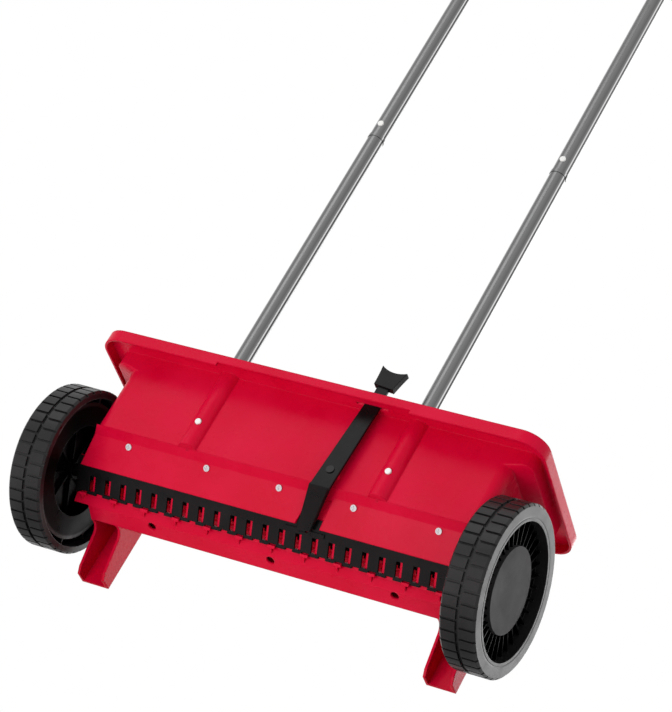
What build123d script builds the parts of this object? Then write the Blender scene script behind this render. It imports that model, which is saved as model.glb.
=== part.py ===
"""Walk-behind drop spreader for lawns, parked upright on its two wheels and two front legs.

Millimetres. While the pieces are made, X runs along the axle from the middle of the hopper, +Y is the
front, +Z is up along the handle, and the axle's centre line is Y = 0, Z = 0. write_node then leans the
whole spreader a little forward about the axle, as it rests on its legs, and moves it so that the origin
is on the ground in the middle of its outline.
"""
from build123d import *
from math import sin, cos, tan, atan2, radians, degrees, sqrt
import os

# Wheels and axle
WHEEL_RADIUS = 86.0
WHEEL_WIDTH = 37.7
WHEEL_INNER_FACE = 226.3
WHEEL_SET_SHIFT = -5.0
PARK_LEAN = 2.5
TREAD_THICK = 8.0
TREAD_GROOVE_WIDTH = 3.6
TREAD_GROOVE_DEPTH = 2.4
TREAD_BLOCKS = 44
TREAD_CUT_WIDTH = 2.6
SHOULDER_BEVEL = 2.2
SIDEWALL_INNER_RADIUS = 69.0
SIDEWALL_THICK = 3.0
SIDEWALL_ROUND = 5.0
BARREL_THICK = 3.0
INNER_RING_RADIUS = 50.0
INNER_RING_DEPTH = 8.0
INNER_RING_THICK = 2.5
WEB_DEPTH = 22.5
WEB_THICK = 2.5
INNER_RIBS = 8
INNER_RIB_DEPTH = 19.3
OUTER_RIBS = 34
OUTER_RIB_HEIGHT = 4.5
RIB_THICK = 1.0
HUB_RADIUS = 10.0
HUB_START = 13.5
HUB_LENGTH = 12.5
CAP_RADIUS = 43.5
CAP_RECESS = 5.6
CAP_THICK = 2.5
CAP_SKIRT_THICK = 2.3
AXLE_RADIUS = 4.0
AXLE_RUNNING_GAP = 0.05
AXLE_END_BEYOND_HUB = 1.8
DRIVE_PIN_RADIUS = 1.5
DRIVE_PIN_OFFSET = 6.0
CLIP_THICK = 1.0
CLIP_RADIUS = 8.0
SPACER_RADIUS = 6.5
SPACER_END_GAP = 0.2

# Trough: its rear wall slopes down to the front under the axle
SLOPE_ANGLE = 41.4
TROUGH_HALF = 226.0
TROUGH_TOP_HALF = 218.5
TROUGH_WALL = 2.2
END_WALL = 2.4
TROUGH_INNER_N = 9.2
TROUGH_BOTTOM_S = 18.0
TROUGH_BEND_S = -24.0
TROUGH_REAR_Y = -44.6
OUTLET_COUNT = 24
OUTLET_PITCH = 18.75
OUTLET_WIDTH = 7.0
OUTLET_TOP_S = -2.6
OUTLET_BOTTOM_S = 13.6
OUTLET_OFFSET = -3.5
LIP_HALF = 234.0
LIP_EDGE_S = 27.3
LIP_EDGE_N = 16.0
BEAM_HALF = 216.7
BEAM_FRONT_Y = 28.6
BEAM_BOTTOM_Z = -35.0
BEAM_WALL = 2.3
NOTCH_SPACING = 139.8
NOTCH_RADIUS = 4.6
NOTCH_Y = 15.0
HOOK_WIDTH = 8.5
HOOK_LENGTH = 3.2
HOOK_THICK = 1.8
HOOK_STEM = 2.2
HOOK_STEM_END_S = 25.5
HOOK_S = 15.7

# Legs
LEG_OUTER_X = 216.7
LEG_WIDTH = 32.2
LEG_WALL = 3.0
LEG_FACE_Y = 71.5
LEG_TIP_DEPTH = 17.5
LEG_TOP_DEPTH = 30.0
LEG_FILLET = 11.0

# Hopper
HOPPER_WALL = 2.5
REAR_WALL_THICK = 2.1
FRONT_WALL_THICK = 3.2
HOPPER_HALF = 219.0
HOPPER_UPPER_HALF = 239.0
SHOULDER_LOW_Z = 102.0
SHOULDER_HIGH_Z = 107.0
REAR_WALL_Y = -52.5
FRONT_WALL_Y = LEG_FACE_Y + LEG_WALL
WALL_BOTTOM_Z = 28.0
FRONT_WALL_BOTTOM_Z = 19.7
HOPPER_CORNER = 12.0
RIM_TOP_Z = 125.0
RIM_HALF = 252.0
RIM_REAR_Y = -84.0
RIM_FRONT_Y = 104.0
RIM_CORNER = 25.0
RIM_THICK = 2.5
SKIRT_DEPTH = 13.0
SKIRT_SHALLOW_DEPTH = 9.3
SKIRT_SHALLOW_HALF = 110.0
FLAP_TOP_Y = -42.5
FLAP_TOP_Z = 22.5
FLAP_THICK = 2.3
FLAP_EDGE_S = -13.0
FLAP_EDGE_N = 16.45
FLAP_TOP_HALF = 217.0
FLAP_EDGE_HALF = 231.0
FLAP_GAP_LOW_X = 22.0
FLAP_GAP_HIGH_X = 50.3
FLAP_GAP_TOP_X = 59.5
CHANNEL_TOP_S = -23.0
SCREW_XS = (-177.0, -84.0, 0.0, 84.0, 177.0)
SCREW_HEAD_RADIUS = 3.4
SCREW_HEAD_THICK = 1.4
SCREW_SHANK_RADIUS = 1.7
SCREW_LENGTH = 7.0
SCREW_FROM_EDGE = 4.2
BOSS_RADIUS = 4.2
FRONT_SCREW_Z = 24.0

# Tubes
TUBE_RADIUS = 9.0
TUBE_WALL = 0.75
TUBE_X = 108.4
TUBE_Y = -48.5
TUBE_BOTTOM_Z = 33.0
SOCKET_GAP = 0.1
SOCKET_WALL = 2.4
SOCKET_FLOOR = 2.5
JOINT_Z = 461.0
JOINT_RING_WIDTH = 4.0
JOINT_RING_PROUD = 0.6
INSERT_LENGTH = 40.0
INSERT_GAP = 0.05
HANDLE_TOP_Z = 895.0
HANDLE_BEND = 45.0
GRIP_LENGTH = 110.0
GRIP_RADIUS = 10.6
PLUG_LENGTH = 12.0
PLUG_HEAD = 2.2
DRAIN_RADIUS = 2.2
SNAP_RADIUS = 3.4
SNAP_HOLE_GAP = 0.2
SNAP_PROUD = 1.6
SNAP_TRAVEL = 3.0
SNAP_FLANGE = 1.2
SNAP_LOW_Z = 57.0
SNAP_HIGH_Z = 478.7
SPRING_THICK = 0.8
SPRING_WIDTH = 5.0
SPRING_LENGTH = 26.0

# Slider and lever
SLIDER_OUTER_N = 13.85
SLIDER_THICK = 2.2
SLIDER_GAP = 0.25
SLIDER_HALF = 234.5
SLIDER_TOP_S = -21.5
SLIDER_BOTTOM_S = 17.0
SCALLOP_WIDTH = 8.0
SCALLOP_DEPTH = 2.4
BRIDGE_LOW_X = 12.0
BRIDGE_HIGH_X = 57.0
BRIDGE_TOP_S = -9.0
BRIDGE_BOTTOM_S = -5.0
BRIDGE_HEIGHT = 1.6
LUG_HEIGHT = 2.0
LUG_THICK = 3.5
LUG_TOP_S = -12.4
PEG_SLOT_TOP_S = -13.4
PEG_SLOT_BOTTOM_S = -6.6
LEVER_FACE_Y = -64.0
LEVER_THICK = 3.0
LEVER_TOP_WIDTH = 16.5
LEVER_BEND_WIDTH = 21.5
LEVER_TOP_X = 60.2
LEVER_TOP_Z = 138.0
LEVER_BEND_X = 52.3
LEVER_BEND_Z = 19.0
LEVER_FOOT_X = 34.0
LEVER_FOOT_WIDTH = 13.0
LEVER_FOOT_S = -10.0
LEVER_FOOT_N = 20.5
LEVER_FLANGE = 3.5
PEG_WIDTH = 8.0
PEG_LENGTH_S = 3.0
PEG_GAP = 0.5
PEG_TIP_N = 13.1
PIVOT_Z = 40.0
PIVOT_RADIUS = 3.0
PIVOT_RUNNING_GAP = 0.05
PIVOT_BOSS_RADIUS = 7.0
PIVOT_HEAD_RADIUS = 4.2
PIVOT_HEAD_THICK = 0.9
PIVOT_SIDE_GAP = 0.2
LEVER_SWING = 5.5
LEVER_SLOT_CLEAR = 1.5
LEVER_SLOT_SIDE_GAP = 0.4
KNOB_BOTTOM_Z = 146.0
KNOB_TOP_Z = 169.0
KNOB_BOTTOM_WIDTH = 22.0
KNOB_WAIST_WIDTH = 19.0
KNOB_TOP_WIDTH = 29.0
KNOB_THICK = 7.0
KNOB_SHIFT = 0.4
NECK_WIDTH = 13.0
NECK_TOP_Z = 158.0
KNOB_TILT = 6.0

# Agitator
AGITATOR_RADIUS = 8.5
AGITATOR_CORE = 5.6
AGITATOR_LOBES = 5
AGITATOR_LOBE_WIDTH = 2.4
AGITATOR_DISC = 10.0
AGITATOR_BORE_GAP = 0.02
AGITATOR_END_GAP = 1.0

# Bushes in the trough's end walls
BUSH_RADIUS = 6.0
BUSH_FLANGE_RADIUS = 8.0
BUSH_FLANGE_THICK = 1.5
BUSH_INNER_LENGTH = 2.0

SLOPE_SIN = sin(radians(SLOPE_ANGLE))
SLOPE_COS = cos(radians(SLOPE_ANGLE))
LEAN_SIN = sin(radians(PARK_LEAN))
LEAN_COS = cos(radians(PARK_LEAN))
FRONT_REACH = RIM_FRONT_Y * LEAN_COS + RIM_TOP_Z * LEAN_SIN
GROUND = Pos(-WHEEL_SET_SHIFT, -(FRONT_REACH - WHEEL_RADIUS) / 2, WHEEL_RADIUS) * Rot(-PARK_LEAN, 0, 0)
TROUGH_OUTER_N = TROUGH_INNER_N + TROUGH_WALL
SLIDER_INNER_N = SLIDER_OUTER_N - SLIDER_THICK
BOOLEAN_REACH = 400.0


def write_node(name, shape):
    """Move a piece to the ground frame and write it."""
    export_step(GROUND * shape, "parts/" + name + ".step")


def slope_point(s, n):
    """Y and Z of a point s down the rear slope and n outward from the axle."""
    return (s * SLOPE_COS - n * SLOPE_SIN, -s * SLOPE_SIN - n * SLOPE_COS)


def slope_s(y, z):
    return y * SLOPE_COS - z * SLOPE_SIN


def slope_n(y, z):
    return -y * SLOPE_SIN - z * SLOPE_COS


def yz_slab(points, x_low, x_high):
    """Solid between two X planes from an outline of (y, z) points."""
    face = make_face(Plane.YZ * Polyline(*points, close=True))
    return Pos(x_low, 0, 0) * extrude(face, x_high - x_low, dir=(1, 0, 0))


def xz_slab(points, y_low, y_high):
    """Solid between two Y planes from an outline of (x, z) points."""
    corners = [(x, y_low, z) for x, z in points]
    return extrude(make_face(Polyline(*corners, close=True)), y_high - y_low, dir=(0, 1, 0))


def block(low, high):
    """Box between two corners."""
    size = [b - a for a, b in zip(low, high)]
    centre = [(a + b) / 2 for a, b in zip(low, high)]
    return Pos(*centre) * Box(*size)


def slope_block(x_low, x_high, s_low, s_high, n_low, n_high):
    """Box in the slope's own directions."""
    corners = [slope_point(s_low, n_low), slope_point(s_high, n_low), slope_point(s_high, n_high),
               slope_point(s_low, n_high)]
    return yz_slab(corners, x_low, x_high)


def rod_x(radius, x_low, x_high, y=0.0, z=0.0):
    return Pos((x_low + x_high) / 2, y, z) * Rot(0, 90, 0) * Cylinder(radius, x_high - x_low)


def rod_y(radius, y_low, y_high, x=0.0, z=0.0):
    return Pos(x, (y_low + y_high) / 2, z) * Rot(90, 0, 0) * Cylinder(radius, y_high - y_low)


def rod_z(radius, z_low, z_high, x=0.0, y=0.0):
    return Pos(x, y, (z_low + z_high) / 2) * Cylinder(radius, z_high - z_low)


def mirrored(shape):
    return mirror(shape, about=Plane.YZ)


# Wheels: made with the inner face at X = 0 and the outer face at +X

def wheel_ring(x_low, x_high, r_low, r_high):
    return rod_x(r_high, x_low, x_high) - rod_x(r_low, x_low - 1, x_high + 1)


def spokes(count, x_low, x_high, r_low, r_high, thick):
    one = block((x_low, -thick / 2, r_low), (x_high, thick / 2, r_high))
    return [Rot(360.0 * i / count, 0, 0) * one for i in range(count)]


def make_sidewall(outer_radius):
    """Ring at the wheel's outer face, its inner edge rounded into the recess."""
    face = WHEEL_WIDTH
    inner = SIDEWALL_INNER_RADIUS
    bend = SIDEWALL_ROUND
    part_way = bend * (1 - sqrt(0.5))
    deep = face - bend - SIDEWALL_THICK
    edges = [Line((face, 0, outer_radius), (face, 0, inner + bend)),
             ThreePointArc((face, 0, inner + bend), (face - part_way, 0, inner + part_way),
                           (face - bend, 0, inner)),
             Line((face - bend, 0, inner), (deep, 0, inner)),
             Line((deep, 0, inner), (deep, 0, inner + BARREL_THICK)),
             Line((deep, 0, inner + BARREL_THICK), (face - SIDEWALL_THICK, 0, outer_radius)),
             Line((face - SIDEWALL_THICK, 0, outer_radius), (face, 0, outer_radius))]
    return revolve(make_face(Curve() + edges), Axis.X)


def make_wheel():
    """Moulded wheel: tread with two rows of blocks, deep outer recess with thin ribs, hollow inner side."""
    tread_inner = WHEEL_RADIUS - TREAD_THICK
    side = WHEEL_RADIUS - SHOULDER_BEVEL
    mid = WHEEL_WIDTH / 2
    half_groove = TREAD_GROOVE_WIDTH / 2
    floor = WHEEL_RADIUS - TREAD_GROOVE_DEPTH
    outline = [(0, tread_inner), (0, side), (SHOULDER_BEVEL, WHEEL_RADIUS), (mid - half_groove, WHEEL_RADIUS),
               (mid - half_groove, floor), (mid + half_groove, floor), (mid + half_groove, WHEEL_RADIUS),
               (WHEEL_WIDTH - SHOULDER_BEVEL, WHEEL_RADIUS), (WHEEL_WIDTH, side), (WHEEL_WIDTH, tread_inner)]
    section = make_face(Plane.XZ * Polyline(*outline, close=True))
    tread = revolve(section, Axis.X)
    cuts = []
    for i in range(TREAD_BLOCKS):
        turn = 360.0 / TREAD_BLOCKS
        half = TREAD_CUT_WIDTH / 2
        low_row = block((-1, -half, floor), (mid, half, WHEEL_RADIUS + 1))
        high_row = block((mid, -half, floor), (WHEEL_WIDTH + 1, half, WHEEL_RADIUS + 1))
        cuts.append(Rot(turn * i, 0, 0) * low_row)
        cuts.append(Rot(turn * (i + 0.5), 0, 0) * high_row)
    tread = tread - cuts
    sidewall = make_sidewall(tread_inner + 1)
    barrel_outer = SIDEWALL_INNER_RADIUS + BARREL_THICK
    barrel = wheel_ring(INNER_RING_DEPTH, WHEEL_WIDTH, SIDEWALL_INNER_RADIUS, barrel_outer)
    inner_ring = wheel_ring(INNER_RING_DEPTH, INNER_RING_DEPTH + INNER_RING_THICK, INNER_RING_RADIUS, barrel_outer)
    drum = wheel_ring(INNER_RING_DEPTH, WEB_DEPTH + WEB_THICK, INNER_RING_RADIUS - INNER_RING_THICK,
                      INNER_RING_RADIUS)
    web = rod_x(barrel_outer, WEB_DEPTH, WEB_DEPTH + WEB_THICK)
    hub = rod_x(HUB_RADIUS, HUB_START, HUB_START + HUB_LENGTH)
    rim_webs = spokes(12, INNER_RING_DEPTH, WHEEL_WIDTH - 1, barrel_outer - 1, tread_inner + 1, 2.0)
    inner_ribs = spokes(INNER_RIBS, INNER_RIB_DEPTH, WEB_DEPTH + 1, HUB_RADIUS - 1, INNER_RING_RADIUS - 1, 2.0)
    outer_ribs = spokes(OUTER_RIBS, WEB_DEPTH + 1, WEB_DEPTH + WEB_THICK + OUTER_RIB_HEIGHT,
                        CAP_RADIUS + 0.4, SIDEWALL_INNER_RADIUS + 1, RIB_THICK)
    body = tread + [sidewall, barrel, inner_ring, drum, web, hub] + rim_webs + inner_ribs + outer_ribs
    return body - rod_x(AXLE_RADIUS + AXLE_RUNNING_GAP, HUB_START - 1, HUB_START + HUB_LENGTH + 1)


def make_hub_cap():
    """Flat round cap that clips over the hub, recessed in the wheel."""
    top = WHEEL_WIDTH - CAP_RECESS
    seat = WEB_DEPTH + WEB_THICK
    disc = rod_x(CAP_RADIUS, top - CAP_THICK, top)
    skirt = wheel_ring(seat, top - CAP_THICK, CAP_RADIUS - CAP_SKIRT_THICK, CAP_RADIUS)
    return disc + skirt


RIGHT_WHEEL = Pos(WHEEL_INNER_FACE + WHEEL_SET_SHIFT, 0, 0)
LEFT_WHEEL = Pos(-WHEEL_INNER_FACE + WHEEL_SET_SHIFT, 0, 0) * Rot(0, 0, 180)
HUB_END = HUB_START + HUB_LENGTH
LEFT_FACE_X = -WHEEL_INNER_FACE + WHEEL_SET_SHIFT
RIGHT_FACE_X = WHEEL_INNER_FACE + WHEEL_SET_SHIFT
LEFT_PIN_X = LEFT_FACE_X - HUB_START - DRIVE_PIN_OFFSET
AXLE_TIP = HUB_END + CLIP_THICK + AXLE_END_BEYOND_HUB


def make_axle():
    rod = rod_x(AXLE_RADIUS, LEFT_FACE_X - AXLE_TIP, RIGHT_FACE_X + AXLE_TIP)
    return rod - rod_z(DRIVE_PIN_RADIUS, -HUB_RADIUS, HUB_RADIUS, x=LEFT_PIN_X)


def make_drive_pin():
    return rod_z(DRIVE_PIN_RADIUS, -HUB_RADIUS, HUB_RADIUS, x=LEFT_PIN_X)


def make_axle_clips():
    """Push-on clips that hold the wheels on the axle."""
    inner = AXLE_RADIUS
    left = rod_x(CLIP_RADIUS, LEFT_FACE_X - HUB_END - CLIP_THICK, LEFT_FACE_X - HUB_END)
    right_low = RIGHT_FACE_X + HUB_END + SPACER_END_GAP
    right = rod_x(CLIP_RADIUS, right_low, right_low + CLIP_THICK)
    bore = rod_x(inner, -BOOLEAN_REACH, BOOLEAN_REACH)
    return Compound([left - bore, right - bore])


def make_spacer(x_low, x_high):
    tube = rod_x(SPACER_RADIUS, x_low, x_high)
    return tube - rod_x(AXLE_RADIUS + AXLE_RUNNING_GAP, x_low - 1, x_high + 1)


BUSH_OUTER_FACE = TROUGH_HALF + BUSH_FLANGE_THICK


def make_bush():
    """Flanged plastic bush, on the +X side."""
    sleeve = rod_x(BUSH_RADIUS, TROUGH_HALF - END_WALL - BUSH_INNER_LENGTH, TROUGH_HALF)
    flange = rod_x(BUSH_FLANGE_RADIUS, TROUGH_HALF, BUSH_OUTER_FACE)
    bore = rod_x(AXLE_RADIUS + AXLE_RUNNING_GAP, TROUGH_HALF - 10, BUSH_OUTER_FACE + 1)
    return sleeve + flange - bore


def make_agitator():
    """Fluted sleeve on the axle, one star over each outlet, alternate stars turned half a lobe."""
    half = TROUGH_HALF - END_WALL - BUSH_INNER_LENGTH - AGITATOR_END_GAP
    body = rod_x(AGITATOR_CORE, -half, half)
    lobe = block((-AGITATOR_DISC / 2, -AGITATOR_LOBE_WIDTH / 2, 0),
                 (AGITATOR_DISC / 2, AGITATOR_LOBE_WIDTH / 2, AGITATOR_RADIUS))
    lobes = []
    for i in range(OUTLET_COUNT):
        x = (i - (OUTLET_COUNT - 1) / 2) * OUTLET_PITCH
        for k in range(AGITATOR_LOBES):
            turn = 360.0 * (k + 0.5 * (i % 2)) / AGITATOR_LOBES
            lobes.append(Pos(x, 0, 0) * Rot(turn, 0, 0) * lobe)
    return body + lobes - rod_x(AXLE_RADIUS + AGITATOR_BORE_GAP, -half - 1, half + 1)


# Trough with its lip, underside beam, hooks and legs

def trough_outline(offset):
    """V-shaped section: offset 0 is the outside, the wall thickness gives the inside."""
    n = TROUGH_OUTER_N - offset
    top = WALL_BOTTOM_Z + (0 if offset == 0 else 1)
    outer_bend = slope_point(TROUGH_BEND_S, TROUGH_OUTER_N)
    steep = atan2(WALL_BOTTOM_Z - outer_bend[1], outer_bend[0] - TROUGH_REAR_Y)
    bend = slope_point(TROUGH_BEND_S + offset * tan((steep - radians(SLOPE_ANGLE)) / 2), n)
    rear_y = bend[0] - (top - bend[1]) / tan(steep)
    bottom = slope_point(TROUGH_BOTTOM_S, TROUGH_OUTER_N)
    front_y = LEG_FACE_Y - offset
    rise = 8.0
    front_low = WALL_BOTTOM_Z - rise + offset
    if offset:
        bottom = slope_point(TROUGH_BOTTOM_S - offset * 0.5, n)
        front_low = WALL_BOTTOM_Z - rise + offset * 1.6
    return [(rear_y, top), bend, bottom, (front_y, front_low), (front_y, top)]


def trough_plan(inset):
    """End walls lean outwards from the top edge down to the outlets."""
    low = TROUGH_HALF - inset
    high = TROUGH_TOP_HALF - inset
    return [(-high, WALL_BOTTOM_Z + 2), (-low, 4), (-low, -60), (low, -60), (low, 4), (high, WALL_BOTTOM_Z + 2)]


def leg_flange_outline():
    tip_y = LEG_FACE_Y + LEG_WALL
    ground = -WHEEL_RADIUS
    low_y = LEG_FACE_Y - LEG_TIP_DEPTH
    return [(low_y + 7, ground), (tip_y, ground), (tip_y, FRONT_WALL_BOTTOM_Z), (62, FRONT_WALL_BOTTOM_Z - 4),
            (20, -14), (BEAM_FRONT_Y, BEAM_BOTTOM_Z), (LEG_FACE_Y - LEG_TOP_DEPTH, BEAM_BOTTOM_Z + 2),
            (low_y, ground + 9)]


def make_leg():
    """Channel leg on the +X side: a web flush with the front wall and a tapering flange each side."""
    outer = LEG_OUTER_X
    inner = LEG_OUTER_X - LEG_WIDTH
    web = block((inner, LEG_FACE_Y, -WHEEL_RADIUS), (outer, LEG_FACE_Y + LEG_WALL, FRONT_WALL_BOTTOM_Z))
    outline = make_face(Polyline(*leg_flange_outline(), close=True))
    top_corner = outline.vertices().sort_by_distance((LEG_FACE_Y - LEG_TOP_DEPTH, BEAM_BOTTOM_Z, 0))[0]
    flange = extrude(Plane.YZ * fillet(top_corner, LEG_FILLET), LEG_WALL, dir=(1, 0, 0))
    flanges = [Pos(inner, 0, 0) * flange, Pos(outer - LEG_WALL, 0, 0) * flange]
    ground = block((-BOOLEAN_REACH, -BOOLEAN_REACH, -BOOLEAN_REACH), (BOOLEAN_REACH, BOOLEAN_REACH, -WHEEL_RADIUS))
    return web + flanges - Rot(PARK_LEAN, 0, 0) * ground


def make_beam():
    """Closed box under the trough's front: rear strip, bottom and front, open at its ends."""
    strip_top = slope_point(TROUGH_BOTTOM_S - 2, TROUGH_OUTER_N - 1)
    edge = slope_point(LIP_EDGE_S, LIP_EDGE_N)
    bottom_front = (BEAM_FRONT_Y, BEAM_BOTTOM_Z)
    top_front = (BEAM_FRONT_Y, 4.0)
    inner_edge = (edge[0] + BEAM_WALL, edge[1] + BEAM_WALL * 0.8)
    inner_bottom = (BEAM_FRONT_Y - BEAM_WALL, BEAM_BOTTOM_Z + BEAM_WALL * 1.3)
    inner_top = (BEAM_FRONT_Y - BEAM_WALL, -6.0)
    inner_strip = (strip_top[0] + BEAM_WALL * 1.6, strip_top[1] - 1)
    outer = yz_slab([strip_top, edge, bottom_front, top_front], -BEAM_HALF, BEAM_HALF)
    inner = yz_slab([inner_strip, inner_edge, inner_bottom, inner_top], -BEAM_HALF - 1, BEAM_HALF + 1)
    return outer - inner


def make_lip():
    """Edge of the lower slope that runs on past the end walls and carries the hooks."""
    top = slope_point(SLIDER_TOP_S, TROUGH_INNER_N)
    outer_top = slope_point(SLIDER_TOP_S, TROUGH_OUTER_N)
    knee = slope_point(TROUGH_BOTTOM_S, TROUGH_OUTER_N)
    edge = slope_point(LIP_EDGE_S, LIP_EDGE_N)
    edge_back = slope_point(LIP_EDGE_S + 1.0, LIP_EDGE_N - 2.2)
    knee_back = slope_point(TROUGH_BOTTOM_S + 1.5, TROUGH_INNER_N)
    slab = yz_slab([top, outer_top, knee, edge, edge_back, knee_back], -LIP_HALF, LIP_HALF)
    return slab


def make_hooks():
    """T-shaped hooks between each pair of outlets, over the slider's lower edge."""
    hooks = []
    low_n = SLIDER_OUTER_N + SLIDER_GAP
    for i in range(-OUTLET_COUNT // 4, OUTLET_COUNT // 4 + 1):
        x = 2 * OUTLET_PITCH * i
        bar = slope_block(x - HOOK_WIDTH / 2, x + HOOK_WIDTH / 2, HOOK_S, HOOK_S + HOOK_LENGTH, low_n,
                          low_n + HOOK_THICK)
        foot = slope_point(HOOK_STEM_END_S, LIP_EDGE_N - 1.5)
        stem = yz_slab([slope_point(SLIDER_BOTTOM_S + 0.6, TROUGH_INNER_N + 1),
                        slope_point(SLIDER_BOTTOM_S + 0.6, low_n + HOOK_THICK),
                        slope_point(SLIDER_BOTTOM_S + 2.5, low_n + HOOK_THICK), foot,
                        slope_point(HOOK_STEM_END_S, TROUGH_OUTER_N + 1)],
                       x - HOOK_STEM / 2, x + HOOK_STEM / 2)
        hooks += [bar, stem]
    return hooks


def outlet_cuts():
    cuts = []
    for i in range(OUTLET_COUNT):
        x = (i - (OUTLET_COUNT - 1) / 2) * OUTLET_PITCH + OUTLET_OFFSET
        cuts.append(slope_block(x - OUTLET_WIDTH / 2, x + OUTLET_WIDTH / 2, OUTLET_TOP_S, OUTLET_BOTTOM_S,
                                TROUGH_INNER_N - 3, TROUGH_OUTER_N + 1))
    return cuts


def screw_places():
    """Rear screws stand square to the flap, front screws square to the front wall."""
    edge_y, edge_z = slope_point(FLAP_EDGE_S, FLAP_EDGE_N)
    lean = atan2(FLAP_TOP_Z - edge_z, edge_y - FLAP_TOP_Y)
    y = FLAP_TOP_Y + SCREW_FROM_EDGE * cos(lean)
    z = FLAP_TOP_Z - SCREW_FROM_EDGE * sin(lean)
    rear = [Pos(x, y, z) * Rot(180 - degrees(lean), 0, 0) for x in SCREW_XS]
    front = [Pos(x, FRONT_WALL_Y, FRONT_SCREW_Z) * Rot(-90, 0, 0) for x in SCREW_XS]
    return rear, front


def screw_shape():
    """Pan head screw: the head's underside is at the origin, the shank points down."""
    head = Pos(0, 0, SCREW_HEAD_THICK / 2) * Cylinder(SCREW_HEAD_RADIUS, SCREW_HEAD_THICK)
    shank = Pos(0, 0, -SCREW_LENGTH / 2) * Cylinder(SCREW_SHANK_RADIUS, SCREW_LENGTH)
    slot = Pos(0, 0, SCREW_HEAD_THICK) * Box(4.4, 0.9, 1.2)
    return head + shank - [slot, Rot(0, 0, 90) * slot]


def screw_hole():
    return Pos(0, 0, -SCREW_LENGTH / 2) * Cylinder(SCREW_SHANK_RADIUS, SCREW_LENGTH + 0.4)


def screw_boss():
    length = SCREW_LENGTH + 1.5
    return Pos(0, 0, -length / 2 - FLAP_THICK) * Cylinder(BOSS_RADIUS, length)


def make_trough():
    outer = yz_slab(trough_outline(0), -TROUGH_HALF, TROUGH_HALF)
    outer = outer & xz_slab(trough_plan(0), -BOOLEAN_REACH, BOOLEAN_REACH)
    inner = yz_slab(trough_outline(TROUGH_WALL), -TROUGH_HALF, TROUGH_HALF)
    inner = inner & xz_slab(trough_plan(END_WALL), -BOOLEAN_REACH, BOOLEAN_REACH)
    rear, front = screw_places()
    leg = make_leg()
    body = outer + [make_lip(), make_beam(), leg, mirrored(leg)]
    body = body - inner
    bosses = [place * screw_boss() for place in rear + front]
    inside = yz_slab(trough_outline(0), -TROUGH_HALF, TROUGH_HALF)
    body = body + [boss & inside for boss in bosses]
    body = body + make_hooks()
    body = body - outlet_cuts()
    bush_hole = rod_x(BUSH_RADIUS, TROUGH_HALF - 2 * END_WALL, TROUGH_HALF + 1)
    notches = [rod_z(NOTCH_RADIUS, BEAM_BOTTOM_Z - 2, BEAM_BOTTOM_Z + 8, x=x, y=NOTCH_Y)
               for x in (-NOTCH_SPACING, 0, NOTCH_SPACING)]
    body = body - [bush_hole, mirrored(bush_hole)] - notches
    return body - [place * screw_hole() for place in rear + front]


# Hopper

def rounded_plan(z, x_half, y_low, y_high, radius):
    """Rounded rectangle on a level plane."""
    centre = (y_low + y_high) / 2
    return Pos(0, centre, z) * RectangleRounded(2 * x_half, y_high - y_low, radius)


def hopper_body(inset, rear_inset, front_inset, bottom, top):
    """Upright box that steps outwards above the wheels."""
    low = HOPPER_HALF - inset
    high = HOPPER_UPPER_HALF - inset
    rear = REAR_WALL_Y + rear_inset
    front = FRONT_WALL_Y - front_inset
    corner = HOPPER_CORNER - inset
    lower = extrude(rounded_plan(bottom, low, rear, front, corner), SHOULDER_LOW_Z - bottom)
    shoulder = loft([rounded_plan(SHOULDER_LOW_Z, low, rear, front, corner),
                     rounded_plan(SHOULDER_HIGH_Z, high, rear, front, corner)])
    upper = extrude(rounded_plan(SHOULDER_HIGH_Z, high, rear, front, corner), top - SHOULDER_HIGH_Z)
    return lower + shoulder + upper


def hopper_hollow(bottom, top):
    return hopper_body(HOPPER_WALL, REAR_WALL_THICK, FRONT_WALL_THICK, bottom, top)


def rim_plan(z, inset):
    return rounded_plan(z, RIM_HALF - inset, RIM_REAR_Y + inset, RIM_FRONT_Y - inset, RIM_CORNER - inset)


def make_flap():
    """Apron below the rear wall: a narrow strip, then a panel that covers the slider's top edge."""
    wall_in = REAR_WALL_Y + REAR_WALL_THICK
    seat_end = slope_point(TROUGH_BEND_S, TROUGH_OUTER_N)
    channel_top = slope_point(CHANNEL_TOP_S, SLIDER_OUTER_N + SLIDER_GAP)
    edge_in = slope_point(FLAP_EDGE_S, SLIDER_OUTER_N + SLIDER_GAP)
    edge_out = slope_point(FLAP_EDGE_S, FLAP_EDGE_N)
    outline = [(REAR_WALL_Y, WALL_BOTTOM_Z + 0.5), (FLAP_TOP_Y, FLAP_TOP_Z), edge_out, edge_in, channel_top,
               seat_end, (TROUGH_REAR_Y, WALL_BOTTOM_Z), (wall_in, WALL_BOTTOM_Z), (wall_in, WALL_BOTTOM_Z + 0.5)]
    slab = yz_slab(outline, -FLAP_EDGE_HALF, FLAP_EDGE_HALF)
    edge_z = edge_out[1] - 2
    plan = [(-FLAP_TOP_HALF, WALL_BOTTOM_Z + 1), (-FLAP_EDGE_HALF, edge_z), (FLAP_EDGE_HALF, edge_z),
            (FLAP_TOP_HALF, WALL_BOTTOM_Z + 1)]
    slab = slab & xz_slab(plan, -BOOLEAN_REACH, 0)
    gap = xz_slab([(FLAP_GAP_LOW_X, edge_z - 1), (FLAP_GAP_HIGH_X, edge_z - 1),
                   (FLAP_GAP_TOP_X, FLAP_TOP_Z - 2), (FLAP_GAP_LOW_X + 14, FLAP_TOP_Z - 2)], -BOOLEAN_REACH, 0)
    return slab - gap


def socket_centre(side):
    return (side * TUBE_X, TUBE_Y)


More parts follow.
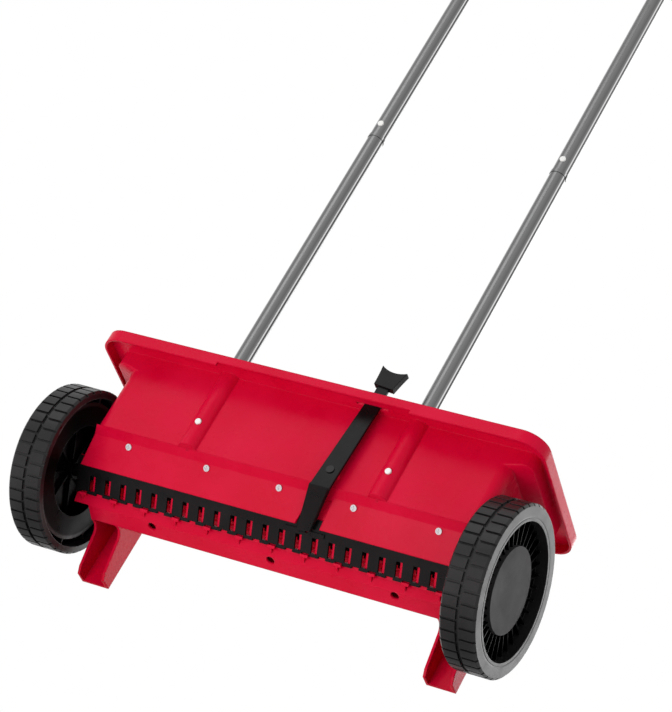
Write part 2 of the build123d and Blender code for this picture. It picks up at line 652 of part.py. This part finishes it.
def make_sockets():
    bodies, bores = [], []
    outer = TUBE_RADIUS + SOCKET_GAP + SOCKET_WALL
    floor_z = TUBE_BOTTOM_Z - PLUG_HEAD
    for side in (-1, 1):
        x, y = socket_centre(side)
        bodies.append(rod_z(outer, floor_z - SOCKET_FLOOR, RIM_TOP_Z - RIM_THICK, x=x, y=y))
        bores.append(rod_z(TUBE_RADIUS + SOCKET_GAP, floor_z, RIM_TOP_Z + 1, x=x, y=y))
        bores.append(rod_z(DRAIN_RADIUS, floor_z - SOCKET_FLOOR - 1, floor_z + 1, x=x, y=y))
        bores.append(rod_y(SNAP_RADIUS + SNAP_HOLE_GAP, y - 2 * outer, y, x=x, z=SNAP_LOW_Z))
    return bodies, bores


def lever_x(z):
    """Middle of the lever's upper bar at a height."""
    share = (z - LEVER_BEND_Z) / (LEVER_TOP_Z - LEVER_BEND_Z)
    return LEVER_BEND_X + share * (LEVER_TOP_X - LEVER_BEND_X)


def make_hopper():
    rim_low = RIM_TOP_Z - RIM_THICK
    outer = hopper_body(0, 0, 0, WALL_BOTTOM_Z, rim_low)
    rim = extrude(rim_plan(rim_low, 0), RIM_THICK)
    skirt_low = RIM_TOP_Z - SKIRT_DEPTH
    skirt = extrude(rim_plan(skirt_low, 0), SKIRT_DEPTH - RIM_THICK / 2)
    skirt = skirt - extrude(rim_plan(skirt_low - 1, RIM_THICK), SKIRT_DEPTH + 2)
    shallow = block((-SKIRT_SHALLOW_HALF, RIM_REAR_Y - 1, skirt_low - 1),
                    (SKIRT_SHALLOW_HALF, RIM_REAR_Y + 2 * RIM_THICK, RIM_TOP_Z - SKIRT_SHALLOW_DEPTH))
    skirt = skirt - shallow
    sockets, bores = make_sockets()
    pivot_x = lever_x(PIVOT_Z)
    boss = rod_y(PIVOT_BOSS_RADIUS, LEVER_FACE_Y + LEVER_THICK + PIVOT_SIDE_GAP, REAR_WALL_Y + 1, x=pivot_x,
                 z=PIVOT_Z)
    strip_half = HOPPER_HALF - HOPPER_CORNER
    front_strip = block((-strip_half, LEG_FACE_Y, FRONT_WALL_BOTTOM_Z), (strip_half, FRONT_WALL_Y, WALL_BOTTOM_Z + 1))
    body = outer - hopper_hollow(WALL_BOTTOM_Z - 1, RIM_TOP_Z + 1) + front_strip
    body = body + [rim - hopper_hollow(WALL_BOTTOM_Z, RIM_TOP_Z + 1), skirt, make_flap(), boss]
    body = body + sockets - bores
    swing = (RIM_TOP_Z - PIVOT_Z) * tan(radians(LEVER_SWING))
    slot_half = LEVER_TOP_WIDTH / 2 + swing + LEVER_SLOT_CLEAR
    mid = lever_x(RIM_TOP_Z)
    slot = block((mid - slot_half, LEVER_FACE_Y - LEVER_SLOT_SIDE_GAP, rim_low - 1),
                 (mid + slot_half, LEVER_FACE_Y + LEVER_THICK + LEVER_SLOT_SIDE_GAP, RIM_TOP_Z + 1))
    pivot_hole = rod_y(PIVOT_RADIUS, LEVER_FACE_Y, REAR_WALL_Y - 0.5, x=pivot_x, z=PIVOT_Z)
    rear, front = screw_places()
    holes = [place * screw_hole() for place in rear + front]
    return body - [slot, pivot_hole] - holes


# Slider and lever

def make_slider():
    """Dosing slider: a window for each outlet, a scalloped lower edge and a bridge for the lever's foot."""
    plate = slope_block(-SLIDER_HALF, SLIDER_HALF, SLIDER_TOP_S, SLIDER_BOTTOM_S, SLIDER_INNER_N, SLIDER_OUTER_N)
    cuts = []
    for i in range(OUTLET_COUNT):
        x = (i - (OUTLET_COUNT - 1) / 2) * OUTLET_PITCH
        cuts.append(slope_block(x - OUTLET_WIDTH / 2, x + OUTLET_WIDTH / 2, OUTLET_TOP_S, OUTLET_BOTTOM_S,
                                SLIDER_INNER_N - 1, SLIDER_OUTER_N + 1))
    for i in range(-OUTLET_COUNT // 2, OUTLET_COUNT // 2 + 1):
        x = OUTLET_PITCH * i
        cuts.append(slope_block(x - SCALLOP_WIDTH / 2, x + SCALLOP_WIDTH / 2, SLIDER_BOTTOM_S - SCALLOP_DEPTH,
                                SLIDER_BOTTOM_S + 1, SLIDER_INNER_N - 1, SLIDER_OUTER_N + 1))
    plate = plate - cuts
    bridge = slope_block(BRIDGE_LOW_X, BRIDGE_HIGH_X, BRIDGE_TOP_S, BRIDGE_BOTTOM_S, SLIDER_OUTER_N - 0.5,
                         SLIDER_OUTER_N + BRIDGE_HEIGHT)
    lugs = []
    for side in (-1, 1):
        inner = LEVER_FOOT_X + side * (PEG_WIDTH / 2 + PEG_GAP)
        outer = inner + side * LUG_THICK
        lugs.append(slope_block(min(inner, outer), max(inner, outer), LUG_TOP_S, BRIDGE_BOTTOM_S,
                                SLIDER_OUTER_N - 0.5, SLIDER_OUTER_N + LUG_HEIGHT))
    half = PEG_WIDTH / 2 + PEG_GAP
    slot = slope_block(LEVER_FOOT_X - half, LEVER_FOOT_X + half, PEG_SLOT_TOP_S, PEG_SLOT_BOTTOM_S,
                       SLIDER_INNER_N - 1, SLIDER_OUTER_N + LUG_HEIGHT + 1)
    return plate + [bridge] + lugs - slot


def make_lever():
    """Flat bar with a bend: the upper part swings along the rear wall, the lower part reaches the slider."""
    half = LEVER_BEND_WIDTH / 2
    top_half = LEVER_TOP_WIDTH / 2
    foot_half = LEVER_FOOT_WIDTH / 2
    back_y = LEVER_FACE_Y + LEVER_THICK
    upper = xz_slab([(LEVER_BEND_X - half, LEVER_BEND_Z), (LEVER_BEND_X + half, LEVER_BEND_Z),
                     (LEVER_TOP_X + top_half, LEVER_TOP_Z), (LEVER_TOP_X - top_half, LEVER_TOP_Z)],
                    LEVER_FACE_Y, back_y)
    neck_half = NECK_WIDTH / 2
    neck = xz_slab([(LEVER_TOP_X - neck_half, LEVER_TOP_Z - 1), (LEVER_TOP_X + neck_half, LEVER_TOP_Z - 1),
                    (LEVER_TOP_X + neck_half, NECK_TOP_Z), (LEVER_TOP_X - neck_half, NECK_TOP_Z)],
                   LEVER_FACE_Y, back_y)
    foot_y, foot_z = slope_point(LEVER_FOOT_S, LEVER_FOOT_N)
    back_foot = slope_point(LEVER_FOOT_S, LEVER_FOOT_N - LEVER_THICK)
    side_view = yz_slab([(LEVER_FACE_Y, LEVER_BEND_Z), (foot_y, foot_z), back_foot, (back_y, LEVER_BEND_Z + 2),
                         (LEVER_FACE_Y, LEVER_BEND_Z + 2)], -BOOLEAN_REACH, BOOLEAN_REACH)
    front_view = xz_slab([(LEVER_BEND_X - half, LEVER_BEND_Z + 2), (LEVER_FOOT_X - foot_half, foot_z - 3),
                          (LEVER_FOOT_X + foot_half, foot_z - 3), (LEVER_BEND_X + half, LEVER_BEND_Z + 2)],
                         -BOOLEAN_REACH, BOOLEAN_REACH)
    lower = side_view & front_view
    peg_half = PEG_WIDTH / 2
    peg = slope_block(LEVER_FOOT_X - peg_half, LEVER_FOOT_X + peg_half, LEVER_FOOT_S - PEG_LENGTH_S / 2,
                      LEVER_FOOT_S + PEG_LENGTH_S / 2, PEG_TIP_N, LEVER_FOOT_N - 0.5)
    body = upper + [neck, lower, peg]
    return body - rod_y(PIVOT_RADIUS + PIVOT_RUNNING_GAP, LEVER_FACE_Y - 1, back_y + 1, x=lever_x(PIVOT_Z), z=PIVOT_Z)


def make_pivot_screw():
    """Shouldered screw in the hopper's boss."""
    x = lever_x(PIVOT_Z)
    head_low = LEVER_FACE_Y - PIVOT_SIDE_GAP
    shank = rod_y(PIVOT_RADIUS, head_low - 0.5, REAR_WALL_Y - 0.5, x=x, z=PIVOT_Z)
    head = rod_y(PIVOT_HEAD_RADIUS, head_low - PIVOT_HEAD_THICK, head_low, x=x, z=PIVOT_Z)
    return shank + head


def make_knob():
    """Fishtail knob pushed over the lever's neck."""
    low, high, mid = KNOB_BOTTOM_WIDTH / 2, KNOB_TOP_WIDTH / 2, KNOB_WAIST_WIDTH / 2
    x = LEVER_TOP_X + KNOB_SHIFT
    y_mid = LEVER_FACE_Y + LEVER_THICK / 2
    edge = [Line((x - low, y_mid, KNOB_BOTTOM_Z), (x + low, y_mid, KNOB_BOTTOM_Z)),
            ThreePointArc((x + low, y_mid, KNOB_BOTTOM_Z), (x + low + 1.2, y_mid, KNOB_BOTTOM_Z + 10),
                          (x + high, y_mid, KNOB_TOP_Z)),
            ThreePointArc((x + high, y_mid, KNOB_TOP_Z), (x, y_mid, KNOB_TOP_Z - 4), (x - high, y_mid, KNOB_TOP_Z)),
            ThreePointArc((x - high, y_mid, KNOB_TOP_Z), (x - low - 1.2, y_mid, KNOB_BOTTOM_Z + 10),
                          (x - low, y_mid, KNOB_BOTTOM_Z))]
    body = extrude(make_face(Curve() + edge), KNOB_THICK / 2, dir=(0, 1, 0), both=True)
    body = Pos(x, 0, KNOB_BOTTOM_Z) * Rot(0, KNOB_TILT, 0) * Pos(-x, 0, -KNOB_BOTTOM_Z) * body
    neck_half = NECK_WIDTH / 2
    pocket = block((LEVER_TOP_X - neck_half, LEVER_FACE_Y, KNOB_BOTTOM_Z - 1),
                   (LEVER_TOP_X + neck_half, LEVER_FACE_Y + LEVER_THICK, NECK_TOP_Z))
    return body - pocket


# Handle

def make_lower_tube(side):
    """Lower tube with a reduced top end that goes into the upper handle."""
    x, y = socket_centre(side)
    bore = TUBE_RADIUS - TUBE_WALL
    insert = bore - INSERT_GAP
    tube = rod_z(TUBE_RADIUS, TUBE_BOTTOM_Z, JOINT_Z, x=x, y=y)
    tube = tube + rod_z(insert, JOINT_Z - 1, JOINT_Z + INSERT_LENGTH, x=x, y=y)
    tube = tube - rod_z(bore, TUBE_BOTTOM_Z - 1, JOINT_Z - 2, x=x, y=y)
    tube = tube - rod_z(insert - TUBE_WALL, TUBE_BOTTOM_Z - 1, JOINT_Z + INSERT_LENGTH + 1, x=x, y=y)
    holes = [rod_y(SNAP_RADIUS + SNAP_HOLE_GAP, y - 2 * TUBE_RADIUS, y, x=x, z=z) for z in (SNAP_LOW_Z, SNAP_HIGH_Z)]
    return tube - holes


def make_upper_handle():
    """One bent tube: two uprights, two bends and the cross bar."""
    top = HANDLE_TOP_Z
    path = FilletPolyline((-TUBE_X, TUBE_Y, JOINT_Z), (-TUBE_X, TUBE_Y, top), (TUBE_X, TUBE_Y, top),
                          (TUBE_X, TUBE_Y, JOINT_Z), radius=HANDLE_BEND)
    start = Plane(origin=path @ 0, z_dir=path % 0)
    outer = sweep(start * Circle(TUBE_RADIUS), path=path)
    inner = sweep(start * Circle(TUBE_RADIUS - TUBE_WALL), path=path)
    ring_radius = TUBE_RADIUS + JOINT_RING_PROUD
    rings = [rod_z(ring_radius, JOINT_Z, JOINT_Z + JOINT_RING_WIDTH, x=x, y=TUBE_Y) for x in (-TUBE_X, TUBE_X)]
    holes = [rod_y(SNAP_RADIUS + SNAP_HOLE_GAP, TUBE_Y - 2 * TUBE_RADIUS, TUBE_Y, x=x, z=SNAP_HIGH_Z)
             for x in (-TUBE_X, TUBE_X)]
    return outer + rings - inner - holes


def make_grip():
    sleeve = rod_x(GRIP_RADIUS, -GRIP_LENGTH / 2, GRIP_LENGTH / 2, y=TUBE_Y, z=HANDLE_TOP_Z)
    sleeve = fillet(sleeve.edges().filter_by(GeomType.CIRCLE), 3.0)
    return sleeve - rod_x(TUBE_RADIUS, -GRIP_LENGTH, GRIP_LENGTH, y=TUBE_Y, z=HANDLE_TOP_Z)


def make_tube_plug(side):
    x, y = socket_centre(side)
    bore = TUBE_RADIUS - TUBE_WALL
    head = rod_z(TUBE_RADIUS, TUBE_BOTTOM_Z - PLUG_HEAD, TUBE_BOTTOM_Z, x=x, y=y)
    body = rod_z(bore, TUBE_BOTTOM_Z - 0.5, TUBE_BOTTOM_Z + PLUG_LENGTH, x=x, y=y)
    return head + body - rod_z(DRAIN_RADIUS, 0, 100, x=x, y=y)


def make_snap(side, z, wall_radius, bore):
    """Spring button: dome, shank through the walls and a flange inside the bore."""
    x, y = socket_centre(side)
    crest = y - wall_radius
    flange_outer = y - sqrt(bore * bore - (SNAP_RADIUS + 1.2) ** 2) + 0.15
    shank = rod_y(SNAP_RADIUS, crest - SNAP_PROUD, flange_outer + SNAP_FLANGE, x=x, z=z)
    shank = fillet(shank.edges().filter_by(GeomType.CIRCLE).sort_by(Axis.Y)[:1], 1.1)
    flange = rod_y(SNAP_RADIUS + 1.2, flange_outer, flange_outer + SNAP_FLANGE, x=x, z=z)
    return shank + flange


def make_snap_spring(side, z, bore):
    """Leaf spring behind the button, bent back at its upper end."""
    x, y = socket_centre(side)
    flange_inner = y - sqrt(bore * bore - (SNAP_RADIUS + 1.2) ** 2) + 0.15 + SNAP_FLANGE
    half = SPRING_WIDTH / 2
    leaf = block((x - half, flange_inner, z - 4), (x + half, flange_inner + SPRING_THICK, z + SPRING_LENGTH))
    back = y + sqrt(bore * bore - half * half) - SNAP_TRAVEL - 0.5
    fold = block((x - half, flange_inner, z + SPRING_LENGTH - SPRING_THICK), (x + half, back, z + SPRING_LENGTH))
    tail = block((x - half, back - SPRING_THICK, z + 6), (x + half, back, z + SPRING_LENGTH))
    return leaf + fold + tail


def main():
    os.makedirs("parts", exist_ok=True)
    rear, front = screw_places()
    write_node("hopper", make_hopper())
    write_node("trough", make_trough())
    write_node("rear_screws", Compound([place * screw_shape() for place in rear]))
    write_node("front_screws", Compound([place * screw_shape() for place in front]))
    write_node("dosing_slider", make_slider())
    write_node("dosing_lever", make_lever())
    write_node("lever_knob", make_knob())
    write_node("lever_pivot_screw", make_pivot_screw())

    wheel = make_wheel()
    cap = make_hub_cap()
    pin_hole = rod_z(DRIVE_PIN_RADIUS, -HUB_RADIUS, HUB_RADIUS, x=LEFT_PIN_X)
    write_node("right_wheel", RIGHT_WHEEL * wheel)
    write_node("left_wheel", LEFT_WHEEL * wheel - pin_hole)
    write_node("right_hub_cap", RIGHT_WHEEL * cap)
    write_node("left_hub_cap", LEFT_WHEEL * cap)
    write_node("axle", make_axle())
    write_node("drive_pin", make_drive_pin())
    write_node("axle_clips", make_axle_clips())
    bush = make_bush()
    write_node("right_axle_bush", bush)
    write_node("left_axle_bush", mirrored(bush))
    gap = SPACER_END_GAP
    write_node("right_spacer", make_spacer(BUSH_OUTER_FACE + gap, RIGHT_FACE_X + HUB_START - gap))
    write_node("left_spacer", make_spacer(LEFT_FACE_X - HUB_START + gap, -BUSH_OUTER_FACE - gap))
    write_node("agitator", make_agitator())

    write_node("upper_handle", make_upper_handle())
    write_node("handle_grip", make_grip())
    bore = TUBE_RADIUS - TUBE_WALL
    insert_bore = bore - INSERT_GAP - TUBE_WALL
    socket_radius = TUBE_RADIUS + SOCKET_GAP + SOCKET_WALL
    for side, name in ((-1, "left"), (1, "right")):
        write_node(name + "_lower_tube", make_lower_tube(side))
        write_node(name + "_tube_plug", make_tube_plug(side))
        write_node(name + "_socket_button", make_snap(side, SNAP_LOW_Z, socket_radius, bore))
        write_node(name + "_socket_spring", make_snap_spring(side, SNAP_LOW_Z, bore))
        write_node(name + "_joint_button", make_snap(side, SNAP_HIGH_Z, TUBE_RADIUS, insert_bore))
        write_node(name + "_joint_spring", make_snap_spring(side, SNAP_HIGH_Z, insert_bore))


main()
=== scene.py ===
"""Scene for the lawn drop spreader: materials, a one-sided floor, soft light and the photograph's camera."""
import math
import bpy
from mathutils import Matrix, Vector

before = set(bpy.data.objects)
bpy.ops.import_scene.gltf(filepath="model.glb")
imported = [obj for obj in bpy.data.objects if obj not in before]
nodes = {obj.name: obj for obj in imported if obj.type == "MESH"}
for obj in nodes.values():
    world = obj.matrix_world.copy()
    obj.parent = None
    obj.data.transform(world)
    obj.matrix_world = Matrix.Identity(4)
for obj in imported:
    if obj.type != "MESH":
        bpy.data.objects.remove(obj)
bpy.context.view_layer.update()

scene = bpy.context.scene

# Colours, linear
RED = (0.60, 0.0008, 0.028)
RED_CLOUD = (0.66, 0.0040, 0.040)
BLACK = (0.0035, 0.0032, 0.0036)
BLACK_CLOUD = (0.0065, 0.006, 0.0065)
TYRE_BLACK = (0.011, 0.0105, 0.011)
TYRE_CLOUD = (0.017, 0.016, 0.017)
# Painted shade inside the recess in the wheels' side
RECESS_PAINTED_SHADE = (0.0012, 0.0011, 0.0012)
CAP_GREY = (0.034, 0.032, 0.033)
CAP_CLOUD = (0.042, 0.040, 0.041)
WHITE = (0.86, 0.86, 0.84)
WHITE_CLOUD = (0.9, 0.9, 0.88)
STEEL = (0.55, 0.55, 0.57)
BLACKENED_STEEL = (0.03, 0.03, 0.03)
PLAIN_WHITE = (1, 1, 1, 1)
FLOOR_COLOUR = (0.82, 0.82, 0.82, 1.0)

# Specular levels
RED_GLOSS = 0.08
BLACK_GLOSS = 0.14
TYRE_GLOSS = 0.25
# Lower specular level inside the recess in the wheels, part of its painted shade
RECESS_SHADE_GLOSS = 0.05
CAP_GLOSS = 0.15
PLAIN_GLOSS = 0.3

# Grain and clouds in the plastics: noise scales per metre, heights in metres
CLOUD_SCALE = 14.0
RUB_SCALE = 4 * CLOUD_SCALE
METAL_RUB_SCALE = 140.0
GRAIN_SCALE = 2200.0
GRAIN_STRENGTH = 0.12
GRAIN_HEIGHT = 0.0002
CLOUD_DETAIL = 3.0
GRAIN_DETAIL = 1.0
NOISE_ROUGHNESS = 0.55
BEVEL_SAMPLES = 6

# The axle's centre line and the recess in the wheels, metres
AXLE_PLACE = (0.0, -0.011677, 0.086)
RECESS_RADIUS = 0.0685
RECESS_BLUR = 0.001

# Floor and room
FLOOR_SIZE = 24.0
FLOOR_Z = -0.0005
FLOOR_LIFT = 0.36
ROOM_LIGHT = 0.66
ROOM_SEEN = 1.0

# Lamps: name, place, target, size, power
LAMPS = [
    ("key", (-1.4, -2.4, 2.0), (0, 0, 0.15), 1.6, 10),
    ("fill", (-0.5, -1.9, -1.6), (0, 0, 0.1), 1.8, 42),
    ("rear_rim", (0.5, 2.4, 1.8), (0, 0, 0.3), 2.0, 30),
]

# Camera: place and direction in the row frame, metres and degrees
CAMERA_PLACE = Vector((1.2155, -2.1210, -0.9703))
CAMERA_YAW = -30.640
CAMERA_RISE = 27.240
CAMERA_ROLL = 28.805
CAMERA_FOCAL_PX = 2680.9
PHOTO_HEIGHT_PX = 712
SENSOR_MM = 36.0


# Materials

def new_material(name):
    mat = bpy.data.materials.new(name)
    mat.use_nodes = True
    tree = mat.node_tree
    return mat, tree, tree.nodes["Principled BSDF"]


def grey(value):
    return (value, value, value)


def noise(tree, scale, detail=CLOUD_DETAIL):
    """Noise in the object's own coordinates, which are the row frame's metres."""
    place = tree.nodes.new("ShaderNodeTexCoord")
    tex = tree.nodes.new("ShaderNodeTexNoise")
    tex.inputs["Scale"].default_value = scale
    tex.inputs["Detail"].default_value = detail
    tex.inputs["Roughness"].default_value = NOISE_ROUGHNESS
    tree.links.new(place.outputs["Object"], tex.inputs["Vector"])
    return tex


def ramp(tree, source, stops):
    """Colour ramp from (place, colour) stops in rising order."""
    node = tree.nodes.new("ShaderNodeValToRGB")
    elements = node.color_ramp.elements
    elements.remove(elements[1])
    elements[0].position = stops[0][0]
    elements[0].color = (*stops[0][1], 1.0)
    for place, colour in stops[1:]:
        elements.new(place).color = (*colour, 1.0)
    tree.links.new(source, node.inputs["Fac"])
    return node


def vector_math(tree, operation, source, second=None):
    """Vector maths node fed by source, with a fixed second vector where one is given."""
    node = tree.nodes.new("ShaderNodeVectorMath")
    node.operation = operation
    tree.links.new(source, node.inputs[0])
    if second is not None:
        node.inputs[1].default_value = second
    return node


def map_range(tree, source, **limits):
    """Map Range node fed by source; from_min sets its From Min, and so on."""
    node = tree.nodes.new("ShaderNodeMapRange")
    for name, value in limits.items():
        node.inputs[name.replace("_", " ").title()].default_value = value
    tree.links.new(source, node.inputs["Value"])
    return node.outputs["Result"]


def vary_roughness(tree, shader, scale, low, high):
    rub = noise(tree, scale)
    shade = ramp(tree, rub.outputs["Fac"], [(0.3, grey(low)), (0.7, grey(high))])
    tree.links.new(shade.outputs["Color"], shader.inputs["Roughness"])


def add_grain(tree, shader, edge):
    """Fine grain, and an edge radius that softens the highlights where edge is given."""
    grain = noise(tree, GRAIN_SCALE, GRAIN_DETAIL)
    bump = tree.nodes.new("ShaderNodeBump")
    bump.inputs["Strength"].default_value = GRAIN_STRENGTH
    bump.inputs["Distance"].default_value = GRAIN_HEIGHT
    tree.links.new(grain.outputs["Fac"], bump.inputs["Height"])
    tree.links.new(bump.outputs["Normal"], shader.inputs["Normal"])
    if edge:
        bevel = tree.nodes.new("ShaderNodeBevel")
        bevel.samples = BEVEL_SAMPLES
        bevel.inputs["Radius"].default_value = edge
        tree.links.new(bevel.outputs["Normal"], bump.inputs["Normal"])


def plastic(name, dark, light, roughness, gloss, edge=0.0):
    """Moulded plastic: faint cloudy colour and a fine grain."""
    mat, tree, shader = new_material(name)
    cloud = noise(tree, CLOUD_SCALE)
    colours = ramp(tree, cloud.outputs["Fac"], [(0.35, dark), (0.68, light)])
    tree.links.new(colours.outputs["Color"], shader.inputs["Base Color"])
    vary_roughness(tree, shader, RUB_SCALE, roughness - 0.05, roughness + 0.07)
    shader.inputs["Specular IOR Level"].default_value = gloss
    add_grain(tree, shader, edge)
    return mat


def paint_recess_shade(mat):
    """Painted shade: near black inside the wheel's side, where little light comes, with a lower specular
    level there, by the distance from the axle.
    """
    tree = mat.node_tree
    shader = tree.nodes["Principled BSDF"]
    body = shader.inputs["Base Color"].links[0].from_socket
    place = tree.nodes.new("ShaderNodeTexCoord")
    off = vector_math(tree, "SUBTRACT", place.outputs["Object"], AXLE_PLACE)
    flat = vector_math(tree, "MULTIPLY", off.outputs["Vector"], (0.0, 1.0, 1.0))
    reach = vector_math(tree, "LENGTH", flat.outputs["Vector"])
    inside = map_range(tree, reach.outputs["Value"], from_min=RECESS_RADIUS + RECESS_BLUR,
                       from_max=RECESS_RADIUS - RECESS_BLUR)
    blend = tree.nodes.new("ShaderNodeMix")
    blend.data_type = "RGBA"
    blend.inputs["B"].default_value = (*RECESS_PAINTED_SHADE, 1.0)
    tree.links.new(inside, blend.inputs["Factor"])
    tree.links.new(body, blend.inputs["A"])
    tree.links.new(blend.outputs["Result"], shader.inputs["Base Color"])
    sheen = map_range(tree, inside, to_min=TYRE_GLOSS, to_max=RECESS_SHADE_GLOSS)
    tree.links.new(sheen, shader.inputs["Specular IOR Level"])


def metal(name, colour, roughness):
    mat, tree, shader = new_material(name)
    shader.inputs["Metallic"].default_value = 1.0
    shader.inputs["Base Color"].default_value = (*colour, 1.0)
    vary_roughness(tree, shader, METAL_RUB_SCALE, roughness - 0.04, roughness + 0.06)
    return mat


def metal_with_painted_reflections(name, stops, roughness):
    """Drawn tube with painted reflections: its base colour changes around it in light and dark bands, by the
    way each part of the wall faces.
    """
    mat = metal(name, grey(1), roughness)
    tree = mat.node_tree
    side = tree.nodes.new("ShaderNodeNewGeometry")
    turn = vector_math(tree, "DOT_PRODUCT", side.outputs["Normal"], TUBE_SIDE)
    spread = map_range(tree, turn.outputs["Value"], from_min=-1.0, from_max=1.0)
    bands = ramp(tree, spread, stops)
    tree.links.new(bands.outputs["Color"], tree.nodes["Principled BSDF"].inputs["Base Color"])
    return mat


# Across the tubes as the photograph sees them: 0 is their left side and 1 their right side
TUBE_SIDE = (0.86, 0.51, 0.0)
# Painted reflections on the tubes: light and dark streaks in the base colour, placed by the way each part of
# the wall faces
TUBE_PAINTED_REFLECTIONS = [(0.0, grey(0.36)), (0.07, grey(0.15)), (0.40, grey(0.19)), (0.62, grey(0.13)),
              (0.74, grey(0.20)), (0.80, grey(0.85)), (0.86, grey(0.05)), (0.94, grey(0.05)),
              (1.0, grey(0.25))]

red = plastic("red_plastic", RED, RED_CLOUD, 0.28, RED_GLOSS, edge=0.0016)
black = plastic("black_plastic", BLACK, BLACK_CLOUD, 0.30, BLACK_GLOSS, edge=0.0010)
wheel_black = plastic("wheel_plastic", TYRE_BLACK, TYRE_CLOUD, 0.32, TYRE_GLOSS, edge=0.0008)
paint_recess_shade(wheel_black)
cap_black = plastic("cap_plastic", CAP_GREY, CAP_CLOUD, 0.60, CAP_GLOSS)
tube_metal = metal_with_painted_reflections("tube_metal", TUBE_PAINTED_REFLECTIONS, 0.24)
steel = metal("steel", STEEL, 0.25)
black_steel = metal("black_steel", BLACKENED_STEEL, 0.35)
button_white = plastic("button_plastic", WHITE, WHITE_CLOUD, 0.3, PLAIN_GLOSS)

PAINT = [
    (red, ["hopper", "trough"]),
    (steel, ["rear_screws", "front_screws", "axle", "drive_pin", "axle_clips", "left_socket_spring",
             "right_socket_spring", "left_joint_spring", "right_joint_spring"]),
    (black_steel, ["lever_pivot_screw"]),
    (black, ["dosing_slider", "dosing_lever", "lever_knob", "agitator", "right_axle_bush",
             "left_axle_bush", "right_spacer", "left_spacer", "left_tube_plug", "right_tube_plug"]),
    (wheel_black, ["right_wheel", "left_wheel"]),
    (cap_black, ["right_hub_cap", "left_hub_cap", "handle_grip"]),
    (tube_metal, ["upper_handle", "left_lower_tube", "right_lower_tube"]),
    (button_white, ["left_socket_button", "right_socket_button", "left_joint_button",
                    "right_joint_button"]),
]
for mat, names in PAINT:
    for name in names:
        for slot in nodes[name].material_slots:
            slot.material = mat


# Room

def seen_rays(tree):
    """One for rays that the camera sees straight on, in a reflection or through a clear thing."""
    path = tree.nodes.new("ShaderNodeLightPath")
    seen_by = path.outputs["Is Camera Ray"]
    for other in ("Is Glossy Ray", "Is Transmission Ray"):
        both = tree.nodes.new("ShaderNodeMath")
        both.operation = "MAXIMUM"
        tree.links.new(seen_by, both.inputs[0])
        tree.links.new(path.outputs[other], both.inputs[1])
        seen_by = both.outputs["Value"]
    return seen_by


def mix_shaders(tree, factor, first, second, target):
    """Blend two shaders by a factor into the output node."""
    mix = tree.nodes.new("ShaderNodeMixShader")
    tree.links.new(factor, mix.inputs["Fac"])
    tree.links.new(first, mix.inputs[1])
    tree.links.new(second, mix.inputs[2])
    tree.links.new(mix.outputs["Shader"], tree.nodes[target].inputs["Surface"])


def make_floor():
    """Pale from above, and not there from below, where the camera and the fill lamp stand."""
    bpy.ops.mesh.primitive_plane_add(size=FLOOR_SIZE, location=(0, 0, FLOOR_Z))
    floor = bpy.context.object
    floor.name = "floor"
    mat, tree, shader = new_material("floor_pale")
    shader.inputs["Base Color"].default_value = FLOOR_COLOUR
    shader.inputs["Roughness"].default_value = 0.9
    shader.inputs["Emission Color"].default_value = PLAIN_WHITE
    lift = tree.nodes.new("ShaderNodeMath")
    lift.operation = "MULTIPLY"
    lift.inputs[1].default_value = FLOOR_LIFT
    tree.links.new(seen_rays(tree), lift.inputs[0])
    tree.links.new(lift.outputs["Value"], shader.inputs["Emission Strength"])
    clear = tree.nodes.new("ShaderNodeBsdfTransparent")
    side = tree.nodes.new("ShaderNodeNewGeometry")
    mix_shaders(tree, side.outputs["Backfacing"], shader.outputs["BSDF"], clear.outputs["BSDF"],
                "Material Output")
    floor.data.materials.append(mat)
    floor.visible_shadow = False


def make_world():
    world = bpy.data.worlds.new("pale_room")
    scene.world = world
    world.use_nodes = True
    tree = world.node_tree
    back = tree.nodes["Background"]
    back.inputs["Color"].default_value = PLAIN_WHITE
    back.inputs["Strength"].default_value = ROOM_LIGHT
    seen = tree.nodes.new("ShaderNodeBackground")
    seen.inputs["Color"].default_value = PLAIN_WHITE
    seen.inputs["Strength"].default_value = ROOM_SEEN
    mix_shaders(tree, seen_rays(tree), back.outputs["Background"], seen.outputs["Background"],
                "World Output")


def area_light(name, place, target, size, power):
    data = bpy.data.lights.new(name, "AREA")
    data.size = size
    data.energy = power
    lamp = bpy.data.objects.new(name, data)
    scene.collection.objects.link(lamp)
    lamp.location = place
    lamp.rotation_mode = "QUATERNION"
    lamp.rotation_quaternion = (Vector(target) - Vector(place)).to_track_quat("-Z", "Y")


def make_camera():
    data = bpy.data.cameras.new("photo_camera")
    cam = bpy.data.objects.new("photo_camera", data)
    scene.collection.objects.link(cam)
    data.sensor_width = SENSOR_MM
    data.lens = CAMERA_FOCAL_PX * SENSOR_MM / PHOTO_HEIGHT_PX
    data.clip_start, data.clip_end = 0.05, 50.0
    yaw, rise = math.radians(CAMERA_YAW), math.radians(CAMERA_RISE)
    level = math.cos(rise)
    forward = Vector((math.sin(yaw) * level, math.cos(yaw) * level, math.sin(rise)))
    turn = forward.to_track_quat("-Z", "Y").to_matrix().to_4x4()
    roll = Matrix.Rotation(math.radians(CAMERA_ROLL), 4, "Z")
    cam.matrix_world = Matrix.Translation(CAMERA_PLACE) @ turn @ roll
    scene.camera = cam


make_floor()
make_world()
for lamp in LAMPS:
    area_light(*lamp)
make_camera()
scene.view_settings.view_transform = "Standard"
